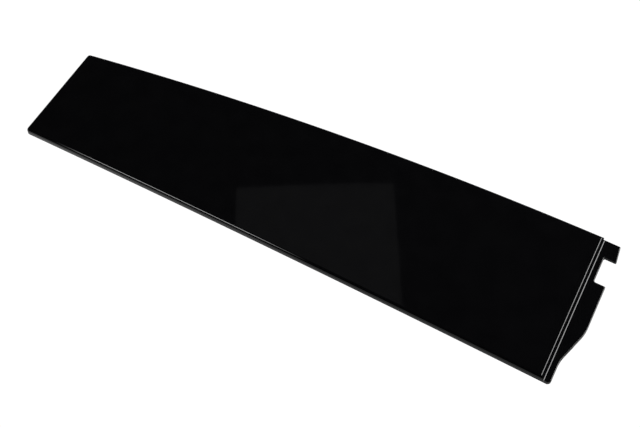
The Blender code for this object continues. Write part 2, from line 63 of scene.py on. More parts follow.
OGEE_START, OGEE_END, OGEE_RADIUS = -16.0 * MM, -44.4 * MM, 36.0 * MM
CARRIER_WALL, CARRIER_INSET, CARRIER_END = 2.0 * MM, 2.8 * MM, FACE_END - 3.4 * MM
CARRIER_TOP = -(COVER_WALL + GAP)
CARRIER_UNDERSIDE = CARRIER_TOP - CARRIER_WALL
RIM_INSET, RIM_END = 13.0 * MM, FACE_END - 14.0 * MM
RIB_WALL, RIB_HEIGHT, RIB_ROOT = 1.6 * MM, 3.0 * MM, 0.5 * MM
CROSS_RIB_STEP, SPINE_STEP = 0.4 * MM, 0.8 * MM
CROSS_RIBS = (-125.0 * MM, -85.0 * MM, -45.0 * MM, 45.0 * MM, 85.0 * MM, 125.0 * MM)
SPINE_HALF_LENGTH = 125.0 * MM
TOWER_HALF_LENGTH, TOWER_HALF_WIDTH, TOWER_HEIGHT = 9.6 * MM, 8.1 * MM, 8.0 * MM
TOWER_WALL, TOWER_ROOF, TOWER_ROOT = 1.6 * MM, 0.7 * MM, 1.0 * MM
SLOT_HALF_WIDTH, SLOT_CORNER_RADIUS = 3.1 * MM, 2.5 * MM
THROAT_HALF_WIDTH, THROAT_RAMP = 2.5 * MM, 0.6 * MM
CLIP_FLOAT, NECK_RADIUS = 1.5 * MM, 2.8 * MM
CLIP_PLACES = (
    (-165.0 * MM, 24.0 * MM), (-165.0 * MM, -24.0 * MM),
    (0.0, 31.0 * MM), (0.0, -31.0 * MM),
    (165.0 * MM, 38.0 * MM), (165.0 * MM, -38.0 * MM),
)
STUD_PLACES = (
    (-186.0 * MM, 0.0), (-65.0 * MM, 22.0 * MM), (-65.0 * MM, -22.0 * MM),
    (65.0 * MM, 26.0 * MM), (65.0 * MM, -26.0 * MM), (186.0 * MM, 0.0),
)
STUD_RADIUS, STUD_LENGTH, STUD_ROOT, STUD_HOLE_RADIUS = 1.6 * MM, 6.4 * MM, 0.6 * MM, 2.1 * MM
TAB_UNDERSIDE = -(STEP_DEPTH + COVER_WALL)
HEAD_RADIUS, HEAD_WALL = 6.0 * MM, 1.4 * MM
SHOULDER_RADIUS, SHOULDER_WALL, SHOULDER_BEVEL, SHOULDER_FALL = 7.5 * MM, 1.2 * MM, 1.5 * MM, 0.6 * MM
STEM_RADIUS, BARB_RADIUS, BARB_TOPS = 2.5 * MM, 4.3 * MM, (-5.2 * MM, -7.6 * MM, -10.0 * MM)
BARB_LIP, BARB_DROP, TIP_SHOULDER, TIP_LIP, TIP_BAND = 0.5 * MM, 1.7 * MM, -12.0 * MM, 0.2 * MM, 0.5 * MM
TIP_RADIUS, TIP_END, TIP_FLAT_RADIUS = 3.3 * MM, -15.5 * MM, 1.2 * MM
SEAL_INNER_RADIUS, SEAL_OUTER_RADIUS, SEAL_HEIGHT, SEAL_BULGE = 4.6 * MM, 7.4 * MM, 2.4 * MM, 0.7 * MM
NUT_HOLE_RADIUS, NUT_RIM_RADIUS, NUT_DISH_RADIUS = 1.9 * MM, 5.5 * MM, 3.4 * MM
NUT_DISH_HEIGHT, NUT_WALL = 0.9 * MM, 0.5 * MM
NUT_SLITS, NUT_SLIT_WIDTH, NUT_SLIT_REACH = 3, 0.45 * MM, 3.2 * MM
TAPE_OUTER_INSET, TAPE_WIDTH, TAPE_WALL, TAPE_HALF_LENGTH = 4.2 * MM, 7.2 * MM, 0.9 * MM, 188.0 * MM
LINER_WALL, LINER_PULL, LINER_MARGIN = 0.25 * MM, 10.0 * MM, 0.5 * MM
FOAM_WALL, FOAM_DEPTH, FOAM_SIDE_INSET = 5.0 * MM, 8.0 * MM, 14.0 * MM
FOAM_STARTS = {"narrow": -FACE_END + 4.0 * MM, "wide": RIM_END + 1.0 * MM}
FELT_WALL = 1.0 * MM
FELT_BOXES = {
    "tab": (FACE_END + 6.0 * MM, TAB_END - 2.0 * MM, -10.0 * MM, NOTCH_NEAR - 3.0 * MM),
    "lug": (NOTCH_FLOOR + 0.5 * MM, LUG_FAR_END - 1.5 * MM, NOTCH_FAR + 1.8 * MM, TAB_FAR_SIDE - 1.6 * MM),
}

# The piece frame: the face's highest point, over the middle of its length.
_cover_low, _cover_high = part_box("outer_cover")
_nut_low, _nut_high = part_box("push_nut_1")
ORIGIN = Vector((_cover_low.x + FACE_END, (_nut_low.y + _nut_high.y) / 2, _cover_high.z))

# How finely the pieces are cut up: along the crown, along the bowed sides, round a fillet and round a rod.
STATIONS, BACK_STATIONS, SIDE_PIECES, FILLET_STEPS, ROD_SIDES = 150, 60, 90, 10, 40
TAB_CORNER_STEPS, TAB_EDGE_STEPS, SEAL_BULGE_STEPS = 12, 6, 12
MERGE_DISTANCE, FLAT_ANGLE, TOP_TOLERANCE = 0.002 * MM, 1e-4, 0.01 * MM

# How far the cutters and blanks run past what they shape.
PAST = 2.0 * MM
CUTTER_REACH, CUTTER_SIDE, CUTTER_LIFT, CUTTER_RUN_IN = 40 * MM, 80 * MM, 5 * MM, 3 * MM
TAB_CUTTER_HALF_HEIGHT, TAB_BLANK, TAB_POCKET_START = 20 * MM, 25 * MM, 5 * MM
SMALLEST_RADIUS = 0.05 * MM

# Widths of the softened edges.
CARRIER_SOFT_EDGE, CLIP_SOFT_EDGE, NUT_SOFT_EDGE = 0.2 * MM, 0.16 * MM, 0.06 * MM
TAPE_SOFT_EDGE, LINER_SOFT_EDGE = 0.2 * MM, 0.05 * MM

# The pads' grid pitches in millimetres, and the shares of wall and crown that shape their underside.
PAD_COLUMN_MM, PAD_ROW_MM, PAD_LEAST_CELLS, LONG_PAD_ROWS, LONG_PAD_EASE = 0.8, 1.6, 8, 30, 0.3
PAD_SOFT_SHARE, PAD_EDGE_SHARE, PAD_RISE_SHARE, PAD_BEVEL_SHARE = 0.55, 0.35, 0.65, 0.12
PAD_END_FALL, PAD_SIDE_FALL = 0.5, 0.3

# The noise range that materials spread over their two colours or roughnesses.
NOISE_START, NOISE_END = 0.3, 0.7


def drop(x):
    """How far the crown has fallen at x below its top; it runs on straight beyond the face's ends."""
    inside = max(-FACE_END, min(FACE_END, x))
    return inside**2 / (2 * CROWN_RADIUS) + abs(inside) / CROWN_RADIUS * (abs(x) - abs(inside))


def half_width(x):
    """Half the plate's width at x: a taper with slightly bowed sides."""
    share = (x + FACE_END) / FACE_LENGTH
    taper = (NARROW_WIDTH + (WIDE_WIDTH - NARROW_WIDTH) * share) / 2
    return taper + EDGE_BOW * (1 - (x / FACE_END) ** 2)


def add_object(name, mesh):
    obj = bpy.data.objects.new(name, mesh)
    bpy.context.scene.collection.objects.link(obj)
    return obj


def evaluated_mesh(obj):
    bpy.context.view_layer.update()
    graph = bpy.context.evaluated_depsgraph_get()
    return bpy.data.meshes.new_from_object(obj.evaluated_get(graph))


def edit_mesh(mesh, change):
    bm = bmesh.new()
    bm.from_mesh(mesh)
    change(bm)
    bm.normal_update()
    bm.to_mesh(mesh)
    bm.free()


def fillet(before, corner, after, radius, steps=FILLET_STEPS):
    """Points on the arc that rounds the corner between its two neighbours."""
    before, corner, after = Vector(before), Vector(corner), Vector(after)
    back = (before - corner).normalized()
    on = (after - corner).normalized()
    half = back.angle(on) / 2
    centre = corner + (back + on).normalized() * (radius / math.sin(half))
    first = corner + back * (radius / math.tan(half)) - centre
    sweep = math.pi - 2 * half
    if back.x * on.y - back.y * on.x > 0:
        sweep = -sweep
    points = []
    for k in range(steps + 1):
        turn = sweep * k / steps
        x = first.x * math.cos(turn) - first.y * math.sin(turn)
        y = first.x * math.sin(turn) + first.y * math.cos(turn)
        points.append((centre.x + x, centre.y + y))
    return points


def rounded(corners):
    """The outline through (x, y, radius) corners, each rounded by its radius."""
    outline = []
    for k, (x, y, radius) in enumerate(corners):
        if radius:
            before, after = corners[k - 1][:2], corners[(k + 1) % len(corners)][:2]
            outline += fillet(before, (x, y), after, radius)
        else:
            outline.append((x, y))
    return outline


def extruded(name, outline, low, high):
    """A solid with the outline's shape between two heights."""
    curve = bpy.data.curves.new(name, "CURVE")
    curve.dimensions = "2D"
    curve.fill_mode = "BOTH"
    curve.extrude = (high - low) / 2
    spline = curve.splines.new("POLY")
    spline.points.add(len(outline) - 1)
    for point, (x, y) in zip(spline.points, outline):
        point.co = (x, y, 0.0, 1.0)
    spline.use_cyclic_u = True
    flat = add_object(name + "_outline", curve)
    flat.location.z = (low + high) / 2
    mesh = evaluated_mesh(flat)
    mesh.transform(flat.matrix_world)
    bpy.data.objects.remove(flat)

    def close_caps(bm):
        bmesh.ops.remove_doubles(bm, verts=bm.verts, dist=MERGE_DISTANCE)
        flat_edges = [e for e in bm.edges if len(e.link_faces) == 2 and e.calc_face_angle() < FLAT_ANGLE]
        bmesh.ops.dissolve_edges(bm, edges=flat_edges, use_verts=False)
        bmesh.ops.recalc_face_normals(bm, faces=bm.faces)

    edit_mesh(mesh, close_caps)
    return add_object(name, mesh)


def lofted(name, rings):
    """A solid skinned over (outline, height) rings that all have the same number of points."""
    count = len(rings[0][0])
    points = [(x, y, height) for outline, height in rings for x, y in outline]
    faces = [tuple(range(count)), tuple(range(len(points) - count, len(points)))]
    for level in range(len(rings) - 1):
        for k in range(count):
            here, there = level * count + k, level * count + (k + 1) % count
            faces.append((here, there, there + count, here + count))
    mesh = bpy.data.meshes.new(name)
    mesh.from_pydata(points, [], faces)
    edit_mesh(mesh, lambda bm: bmesh.ops.recalc_face_normals(bm, faces=bm.faces))
    return add_object(name, mesh)


def box(name, low, high):
    mesh = bpy.data.meshes.new(name)
    low, high = Vector(low), Vector(high)

    def shape(bm):
        bmesh.ops.create_cube(bm, size=1.0)
        for vertex in bm.verts:
            share = vertex.co + Vector((0.5, 0.5, 0.5))
            vertex.co = low + Vector(a * b for a, b in zip(share, high - low))

    edit_mesh(mesh, shape)
    return add_object(name, mesh)


def rod(name, centre, radius, low, high):
    mesh = bpy.data.meshes.new(name)

    def shape(bm):
        bmesh.ops.create_cone(
            bm, cap_ends=True, segments=ROD_SIDES, radius1=radius, radius2=radius, depth=high - low
        )
        bmesh.ops.translate(bm, verts=bm.verts, vec=(centre[0], centre[1], (low + high) / 2))

    edit_mesh(mesh, shape)
    return add_object(name, mesh)


def combine(target, other, operation):
    """Cuts other from target, or joins it on, and removes other."""
    modifier = target.modifiers.new("combine", "BOOLEAN")
    modifier.operation = operation
    modifier.solver = "EXACT"
    modifier.object = other
    mesh = evaluated_mesh(target)
    target.modifiers.remove(modifier)
    target.data = mesh
    bpy.data.objects.remove(other)


def crown(obj, stations):
    """Bends a flat piece down along X to follow the face's crown."""
    def bend(bm):
        for k in range(stations + 1):
            x = -FACE_END + FACE_LENGTH * k / stations
            whole = bm.verts[:] + bm.edges[:] + bm.faces[:]
            bmesh.ops.bisect_plane(bm, geom=whole, dist=0.001 * MM, plane_co=(x, 0, 0), plane_no=(1, 0, 0))
        for vertex in bm.verts:
            vertex.co.z -= drop(vertex.co.x)

    edit_mesh(obj.data, bend)


def turned(name, profile, steps=48):
    """A solid turned from (radius, height) points."""
    mesh = bpy.data.meshes.new(name)
    points = [(radius, 0.0, height) for radius, height in profile]
    mesh.from_pydata(points, [(k, k + 1) for k in range(len(points) - 1)], [])
    obj = add_object(name, mesh)
    screw = obj.modifiers.new("turn", "SCREW")
    screw.axis = "Z"
    screw.steps = steps
    screw.render_steps = steps
    screw.use_merge_vertices = True
    screw.merge_threshold = 0.01 * MM
    obj.data = evaluated_mesh(obj)
    obj.modifiers.clear()
    return obj


def soften(obj, width, segments=2, angle=35):
    """Rounds the edges sharper than the angle by the width."""
    bevel = obj.modifiers.new("soft_edges", "BEVEL")
    bevel.width = width
    bevel.segments = segments
    bevel.limit_method = "ANGLE"
    bevel.angle_limit = math.radians(angle)
    bevel.use_clamp_overlap = True
    bevel.miter_outer = "MITER_ARC"


def smooth(obj, angle):
    obj.data.shade_smooth()
    obj.data.set_sharp_from_angle(angle=math.radians(angle))
    weighted = obj.modifiers.new("face_weighted", "WEIGHTED_NORMAL")
    weighted.keep_sharp = True
    weighted.weight = 100


def long_edge(side, inset, start, end):
    """Corners without radius along one bowed side of the plate, moved in by the inset."""
    points = []
    for k in range(SIDE_PIECES + 1):
        x = start + (end - start) * k / SIDE_PIECES
        points.append((x, side * (half_width(x) - inset), 0))
    return points


def plate_outline(inset, right_end, far_radius=0, near_radius=0):
    left = -FACE_END + inset
    far = long_edge(1, inset, left, right_end)
    near = long_edge(-1, inset, right_end, left)
    far[0] = (far[0][0], far[0][1], far_radius)
    near[-1] = (near[-1][0], near[-1][1], near_radius)
    return rounded(far + near)


def run_on(inner, last, times):
    """The point that many times as far from inner as last is, in the same direction."""
    return tuple(a + times * (b - a) for a, b in zip(inner, last))


# ---------------------------------------------------------------- materials

class Nodes:
    """A material's node tree, with short calls for the nodes used here."""

    def __init__(self, name, colour, roughness, metallic=0.0, **sockets):
        self.material = bpy.data.materials.new(name)
        self.material.use_nodes = True
        self.tree = self.material.node_tree
        self.shader = self.tree.nodes["Principled BSDF"]
        self.shader.inputs["Base Color"].default_value = (*colour, 1.0)
        self.shader.inputs["Roughness"].default_value = roughness
        self.shader.inputs["Metallic"].default_value = metallic
        for socket, value in sockets.items():
            self.shader.inputs[socket.replace("_", " ")].default_value = value
        self.coords = self.tree.nodes.new("ShaderNodeTexCoord").outputs["Object"]

    def add(self, kind, **inputs):
        node = self.tree.nodes.new(kind)
        for socket, value in inputs.items():
            self.feed(node.inputs[socket.replace("_", " ")], value)
        return node

    def feed(self, socket, value):
        if isinstance(value, bpy.types.NodeSocket):
            self.tree.links.new(value, socket)
        else:
            socket.default_value = value

    def stretched(self, scale):
        return self.add("ShaderNodeMapping", Vector=self.coords, Scale=scale).outputs["Vector"]

    def noise(self, scale, detail=3.0, rough=0.5, vector=None):
        node = self.add(
            "ShaderNodeTexNoise", Vector=vector or self.coords, Scale=scale, Detail=detail, Roughness=rough
        )
        return node.outputs["Fac"]

    def cells(self, scale):
        return self.add("ShaderNodeTexVoronoi", Vector=self.coords, Scale=scale).outputs["Distance"]

    def between(self, fac, low, high):
        node = self.add(
            "ShaderNodeMapRange", Value=fac, From_Min=NOISE_START, From_Max=NOISE_END, To_Min=low, To_Max=high
        )
        return node.outputs["Result"]

    def tint(self, fac, first, second):
        node = self.add("ShaderNodeValToRGB", Fac=fac)
        ramp = node.color_ramp.elements
        ramp[0].position, ramp[1].position = NOISE_START, NOISE_END
        ramp[0].color, ramp[1].color = (*first, 1.0), (*second, 1.0)
        return node.outputs["Color"]

    def colour(self, socket):
        self.feed(self.shader.inputs["Base Color"], socket)

    def roughness(self, socket):
        self.feed(self.shader.inputs["Roughness"], socket)

    def bump(self, height, distance, strength=1.0):
        node = self.add("ShaderNodeBump", Height=height, Strength=strength, Distance=distance)
        self.feed(self.shader.inputs["Normal"], node.outputs["Normal"])


def gloss_black():
    m = Nodes("gloss_black_moulding", (0.0026, 0.0026, 0.0030), 0.03, IOR=1.42)
    m.colour(m.tint(m.noise(60, 2), (0.0022, 0.0022, 0.0026), (0.0030, 0.0030, 0.0034)))
    m.roughness(m.between(m.noise(900, 4), 0.022, 0.05))
    m.bump(m.noise(260, 2, 0.4), 0.0000016)
    return m.material


def moulded_black():
    m = Nodes("grained_carrier_plastic", (0.025, 0.025, 0.027), 0.5, IOR=1.46)
    m.colour(m.tint(m.noise(180, 4), (0.018, 0.018, 0.020), (0.032, 0.032, 0.034)))
    m.roughness(m.between(m.noise(1500, 3), 0.42, 0.62))
    m.bump(m.cells(2600), 0.00006, 0.7)
    return m.material


def nylon():
    m = Nodes("natural_nylon", (0.78, 0.76, 0.68), 0.42, IOR=1.52, Subsurface_Weight=0.15)
    m.shader.inputs["Subsurface Radius"].default_value = (1.0, 0.85, 0.6)
    m.shader.inputs["Subsurface Scale"].default_value = 0.0012
    m.colour(m.tint(m.noise(300, 3), (0.72, 0.69, 0.60), (0.82, 0.80, 0.73)))
    m.roughness(m.between(m.noise(1400, 3), 0.34, 0.52))
    m.bump(m.noise(2200, 4), 0.00003, 0.6)
    return m.material


def foam():
    m = Nodes("closed_cell_foam", (0.05, 0.05, 0.055), 0.9)
    m.colour(m.tint(m.noise(900, 5), (0.030, 0.030, 0.033), (0.075, 0.075, 0.08)))
    m.roughness(m.between(m.noise(1200, 3), 0.8, 0.98))
    m.bump(m.cells(3200), 0.00016, 1.0)
    return m.material


def spring_steel():
    m = Nodes("zinc_spring_steel", (0.55, 0.55, 0.54), 0.35, 1.0)
    m.colour(m.tint(m.noise(500, 4), (0.46, 0.47, 0.47), (0.62, 0.61, 0.58)))
    m.roughness(m.between(m.noise(1800, 4), 0.24, 0.46))
    m.bump(m.noise(4000, 3, 0.5, m.stretched((1.0, 6.0, 1.0))), 0.00001, 0.5)
    return m.material


def tape_foam():
    m = Nodes("acrylic_foam_tape", (0.08, 0.08, 0.085), 0.8)
    m.colour(m.tint(m.noise(700, 5), (0.06, 0.06, 0.064), (0.11, 0.11, 0.115)))
    m.roughness(m.between(m.noise(900, 3), 0.7, 0.92))
    m.bump(m.cells(5000), 0.00006, 0.8)
    return m.material


def liner():
    m = Nodes("red_liner_film", (0.62, 0.06, 0.05), 0.35, IOR=1.5)
    m.colour(m.tint(m.noise(90, 3), (0.55, 0.045, 0.04), (0.68, 0.075, 0.06)))
    m.roughness(m.between(m.noise(600, 3, 0.5, m.stretched((0.2, 1.0, 1.0))), 0.26, 0.45))
    m.bump(m.noise(160, 3, 0.5, m.stretched((1.0, 0.3, 1.0))), 0.00006, 0.6)
    return m.material


def felt():
    m = Nodes("needled_felt", (0.035, 0.035, 0.038), 1.0, Sheen_Weight=0.5, Sheen_Roughness=0.6)
    m.colour(m.tint(m.noise(2200, 6, 0.7), (0.018, 0.018, 0.020), (0.06, 0.06, 0.064)))
    m.roughness(m.between(m.noise(1500, 3), 0.88, 1.0))
    fibres = m.noise(5000, 5, 0.7, m.stretched((1.0, 0.25, 1.0)))
    m.bump(fibres, 0.0002, 1.0)
    return m.material


MATERIALS = {
    "gloss_cover": gloss_black(),
    "carrier_plastic": moulded_black(),
    "clip_nylon": nylon(),
    "seal_foam": foam(),
    "nut_steel": spring_steel(),
    "bond_tape": tape_foam(),
    "liner_film": liner(),
    "felt": felt(),
}


def finish_piece(obj, slot, body, node):
    """Gives a piece its finish, puts it in place on its body and lets it stand for its CAD node."""
    obj.data.materials.clear()
    obj.data.materials.append(MATERIALS[slot])
    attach(obj, body)
    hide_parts(node)


# ---------------------------------------------------------------- the cover

def step_cutter():
    """What lies above the step: its crest and foot drawn from the side, then stood up across the plate."""
    top, foot = (FACE_END, 0.0), (FACE_END + STEP_RUN, -STEP_DEPTH)
    beyond = FACE_END + CUTTER_REACH
    crest = fillet((FACE_END - CUTTER_RUN_IN, 0.0), top, foot, STEP_TOP_RADIUS)
    root = fillet(top, foot, (beyond, -STEP_DEPTH), STEP_FOOT_RADIUS)
    over = run_on(crest[1], crest[0], 8)
    profile = [(over[0], CUTTER_LIFT), over] + crest[1:] + root
    profile += [(beyond, -STEP_DEPTH), (beyond, CUTTER_LIFT)]
    cutter = extruded("step_cutter", profile, -WIDE_WIDTH, WIDE_WIDTH)
    for vertex in cutter.data.vertices:
        x, z, y = vertex.co
        vertex.co = (x, y, z)
    cutter.data.flip_normals()
    return cutter


def tab_outline(inset):
    """The region outside the tab, lug and notch, grown inwards over them by the inset."""
    beyond, outside = FACE_END + CUTTER_REACH, CUTTER_SIDE
    near_side = inset - half_width(TAB_NEAR_END)
    near_end, far_side, floor = TAB_NEAR_END - inset, TAB_FAR_SIDE - inset, NOTCH_FLOOR - inset
    convex, concave = max(LUG_RADIUS - inset, SMALLEST_RADIUS), NOTCH_RADIUS + inset
    # Moving a slanted edge sideways slides the ends of the ogee along by half its slope.
    slide = inset * (TAB_END - TAB_NEAR_END) / (OGEE_START - OGEE_END) / 2
    radius = TAB_CORNER_RADIUS - inset
    corner = fillet((near_end, OGEE_END), (near_end, near_side), (0.0, near_side), radius, TAB_CORNER_STEPS)
    corners = [
        (TAB_SHOULDER, outside, 0),
        (TAB_SHOULDER, far_side, 0),
        (LUG_FAR_END - inset, far_side, convex),
        (LUG_NEAR_END - inset, NOTCH_FAR + inset, convex),
        (floor, NOTCH_FAR + inset, concave),
        (floor, NOTCH_NEAR - inset, concave),
        (TAB_END - inset, NOTCH_NEAR - inset, convex),
        (TAB_END - inset, OGEE_START + slide, OGEE_RADIUS - inset),
        (near_end, OGEE_END + slide, OGEE_RADIUS + inset),
    ]
    corners += [(x, y, 0) for x, y in corner]
    corners += [(corner[-1][0], -outside, 0), (beyond, -outside, 0), (beyond, outside, 0)]
    return rounded(corners)


def tab_cutter():
    """Everything outside the tab's own outline, leaning in over the tab's top edge to round it."""
    foot = -STEP_DEPTH - TAB_EDGE_RADIUS
    levels = []
    for k in range(TAB_EDGE_STEPS + 1):
        turn = math.pi / 2 * k / TAB_EDGE_STEPS
        levels.append((TAB_EDGE_RADIUS * (1 - math.cos(turn)), foot + TAB_EDGE_RADIUS * math.sin(turn)))
    over = run_on(levels[-2], levels[-1], 3)
    levels = [(0.0, -TAB_CUTTER_HALF_HEIGHT)] + levels[:-1] + [over, (over[0], TAB_CUTTER_HALF_HEIGHT)]
    return lofted("tab_cutter", [(tab_outline(inset), height) for inset, height in levels])


def make_cover():
    outline = plate_outline(0.0, FACE_END + TAB_BLANK, FAR_CORNER_RADIUS, NEAR_CORNER_RADIUS)
    cover = extruded("cover_moulding", outline, -FLANGE_DEPTH, 0.0)

    def round_top(bm):
        rim = [e for e in bm.edges if all(abs(v.co.z) < TOP_TOLERANCE for v in e.verts)]
        bmesh.ops.bevel(bm, geom=rim, offset=EDGE_RADIUS, segments=10, profile=0.5, affect="EDGES")

    edit_mesh(cover.data, round_top)
    combine(cover, step_cutter(), "DIFFERENCE")
    combine(cover, tab_cutter(), "DIFFERENCE")
    below = -FLANGE_DEPTH - PAST
    inside = plate_outline(FLANGE_WALL, FACE_END - STEP_POCKET_SETBACK, FAR_INNER_RADIUS, NEAR_INNER_RADIUS)
    combine(cover, extruded("face_pocket", inside, below, -COVER_WALL), "DIFFERENCE")
    tab_pocket = box(
        "tab_pocket",
        (FACE_END - TAB_POCKET_START, -WIDE_WIDTH / 2 + TAB_FLANGE_WALL, below),
        (FACE_END + CUTTER_REACH, WIDE_WIDTH, TAB_UNDERSIDE),
    )
    combine(cover, tab_pocket, "DIFFERENCE")
    for place in STUD_PLACES:
        stud = rod("stud", place, STUD_RADIUS, -COVER_WALL - STUD_LENGTH, STUD_ROOT - COVER_WALL)
        combine(cover, stud, "UNION")
    crown(cover, STATIONS)
    cover.location = ORIGIN
    smooth(cover, angle=32)
    finish_piece(cover, "gloss_cover", "plate", "outer_cover")


make_cover()

# ---------------------------------------------------------------- the carrier

def make_tower(index):
    """One clip tower, open towards +X. Its slot leaves room for the clip to float, except on the first."""
    x, y = CLIP_PLACES[index]
    underside = CARRIER_UNDERSIDE - drop(x)
    foot = underside - TOWER_HEIGHT
    length, width = TOWER_HALF_LENGTH, TOWER_HALF_WIDTH
    tower = box("tower", (x - length, y - width, foot), (x + length, y + width, underside + TOWER_ROOT))
    mouth = x + length + PAST
    chamber = box(
        "chamber",
        (x - length + TOWER_WALL, y - width + TOWER_WALL, foot + TOWER_WALL),
        (mouth, y + width - TOWER_WALL, underside - TOWER_ROOF),
    )
    combine(tower, chamber, "DIFFERENCE")
    reach = NECK_RADIUS + GAP + (CLIP_FLOAT if index else 0.0)
    throat = x + reach + THROAT_RAMP
    slot = [
        (x - reach, y + SLOT_HALF_WIDTH, SLOT_CORNER_RADIUS),
        (x - reach, y - SLOT_HALF_WIDTH, SLOT_CORNER_RADIUS),
        (x + reach, y - SLOT_HALF_WIDTH, 0),
        (throat, y - THROAT_HALF_WIDTH, 0),
        (mouth, y - THROAT_HALF_WIDTH, 0),
        (mouth, y + THROAT_HALF_WIDTH, 0),
        (throat, y + THROAT_HALF_WIDTH, 0),
        (x + reach, y + SLOT_HALF_WIDTH, 0),
    ]
    combine(tower, extruded("slot", rounded(slot), foot - PAST, foot + TOWER_WALL + PAST), "DIFFERENCE")
    return tower


def make_ribs(carrier):
    """The rim rib, the cross ribs and the spine, at stepped heights so that no faces coincide."""
    low, root, half = CARRIER_UNDERSIDE - RIB_HEIGHT, CARRIER_UNDERSIDE + RIB_ROOT, RIB_WALL / 2
    rim = extruded("rim_rib", plate_outline(RIM_INSET, RIM_END), low, root)
    inside = plate_outline(RIM_INSET + RIB_WALL, RIM_END - RIB_WALL)
    combine(rim, extruded("rim_core", inside, low - PAST, root + PAST), "DIFFERENCE")
    combine(carrier, rim, "UNION")
    for x in CROSS_RIBS:
        side = half_width(x) - RIM_INSET - half
        rib = box("cross_rib", (x - half, -side, low + CROSS_RIB_STEP), (x + half, side, root - RIB_ROOT / 4))
        combine(carrier, rib, "UNION")
    spine_low, spine_high = low + SPINE_STEP, root - RIB_ROOT / 2
    spine = box("spine_rib", (-SPINE_HALF_LENGTH, -half, spine_low), (SPINE_HALF_LENGTH, half, spine_high))
    combine(carrier, spine, "UNION")


def make_carrier():
    outline = plate_outline(CARRIER_INSET, CARRIER_END, FAR_INNER_RADIUS, NEAR_INNER_RADIUS)
    carrier = extruded("carrier_moulding", outline, CARRIER_UNDERSIDE, CARRIER_TOP)
    make_ribs(carrier)
    for place in STUD_PLACES:
        hole = rod("stud_hole", place, STUD_HOLE_RADIUS, CARRIER_UNDERSIDE - PAST, CARRIER_TOP + PAST)
        combine(carrier, hole, "DIFFERENCE")
    crown(carrier, BACK_STATIONS)
    for k in range(len(CLIP_PLACES)):
        combine(carrier, make_tower(k), "UNION")
    carrier.location = ORIGIN
    soften(carrier, CARRIER_SOFT_EDGE)
    smooth(carrier, angle=32)
    finish_piece(carrier, "carrier_plastic", "plate", "inner_carrier")


make_carrier()

# ---------------------------------------------------------------- clips, seals and nuts

def clip_profile():
    """Head, neck, domed shoulder, barbed stem and tip, from top to bottom."""
    head_low, shoulder_top = TOWER_WALL + GAP, -GAP
    shoulder_low = shoulder_top - SHOULDER_WALL
    profile = [
        (0.0, head_low + HEAD_WALL), (HEAD_RADIUS, head_low + HEAD_WALL), (HEAD_RADIUS, head_low),
        (NECK_RADIUS, head_low), (NECK_RADIUS, shoulder_top),
        (SHOULDER_RADIUS - SHOULDER_BEVEL, shoulder_top), (SHOULDER_RADIUS, shoulder_top - SHOULDER_FALL),
        (SHOULDER_RADIUS, shoulder_low), (STEM_RADIUS, shoulder_low),
    ]
    for top in BARB_TOPS:
        profile += [
            (STEM_RADIUS, top), (BARB_RADIUS, top - BARB_LIP / 2), (BARB_RADIUS, top - BARB_LIP),
            (STEM_RADIUS, top - BARB_DROP),
        ]
    profile += [
        (STEM_RADIUS, TIP_SHOULDER + TIP_LIP), (TIP_RADIUS, TIP_SHOULDER),
        (TIP_RADIUS, TIP_SHOULDER - TIP_BAND), (TIP_FLAT_RADIUS, TIP_END), (0.0, TIP_END),
    ]
    return profile


def seal_profile():
    """A foam washer with bulging sides, pressed flat where the shoulder and the door sheet hold it."""
    top = -(GAP + SHOULDER_WALL + GAP)
    middle, half = top - SEAL_HEIGHT / 2, SEAL_HEIGHT / 2
    outer, inner, bulge = SEAL_OUTER_RADIUS, SEAL_INNER_RADIUS, SEAL_BULGE
    turns = [math.pi * k / SEAL_BULGE_STEPS - math.pi / 2 for k in range(SEAL_BULGE_STEPS + 1)]
    profile = [(outer - bulge * (1 - math.cos(turn)), middle - half * math.sin(turn)) for turn in turns]
    profile += [(inner + bulge / 2 * (1 - math.cos(turn)), middle + half * math.sin(turn)) for turn in turns]
    return profile + profile[:1]


def nut_profile():
    return [
        (NUT_HOLE_RADIUS, -NUT_DISH_HEIGHT - NUT_WALL), (NUT_HOLE_RADIUS, -NUT_DISH_HEIGHT),
        (NUT_DISH_RADIUS, 0.0), (NUT_RIM_RADIUS, 0.0), (NUT_RIM_RADIUS, -NUT_WALL),
        (NUT_DISH_RADIUS, -NUT_WALL), (NUT_HOLE_RADIUS, -NUT_DISH_HEIGHT - NUT_WALL),
    ]


def make_clips():
    for k, (x, y) in enumerate(CLIP_PLACES):
        body = f"clip_{k + 1}" if k else "plate"
        place = ORIGIN + Vector((x, y, CARRIER_UNDERSIDE - drop(x) - TOWER_HEIGHT))
        clip = turned(f"barbed_clip_{k + 1}", clip_profile())
        clip.location = place
        soften(clip, CLIP_SOFT_EDGE, segments=3, angle=25)
        smooth(clip, angle=60)
        finish_piece(clip, "clip_nylon", body, f"retainer_clip_{k + 1}")
        seal = turned(f"foam_washer_{k + 1}", seal_profile(), steps=64)
        seal.location = place
        smooth(seal, angle=80)
        finish_piece(seal, "seal_foam", body, f"clip_seal_{k + 1}")


def make_nuts():
    """Dished spring-steel push nuts. Three slits right across make six teeth round the stud."""
    for k, (x, y) in enumerate(STUD_PLACES):
        nut = turned(f"push_on_nut_{k + 1}", nut_profile(), steps=72)
        for tooth in range(NUT_SLITS):
            reach, half = NUT_SLIT_REACH, NUT_SLIT_WIDTH / 2
            slit = box("slit", (-reach, -half, -PAST), (reach, half, PAST))
            slit.data.transform(Matrix.Rotation(math.pi * tooth / NUT_SLITS, 4, "Z"))
            combine(nut, slit, "DIFFERENCE")
        nut.location = ORIGIN + Vector((x, y, CARRIER_UNDERSIDE - GAP - drop(x)))
        nut.rotation_euler.y = math.atan(x / CROWN_RADIUS)
        soften(nut, NUT_SOFT_EDGE, angle=30)
        smooth(nut, angle=40)
        finish_piece(nut, "nut_steel", "plate", f"push_nut_{k + 1}")


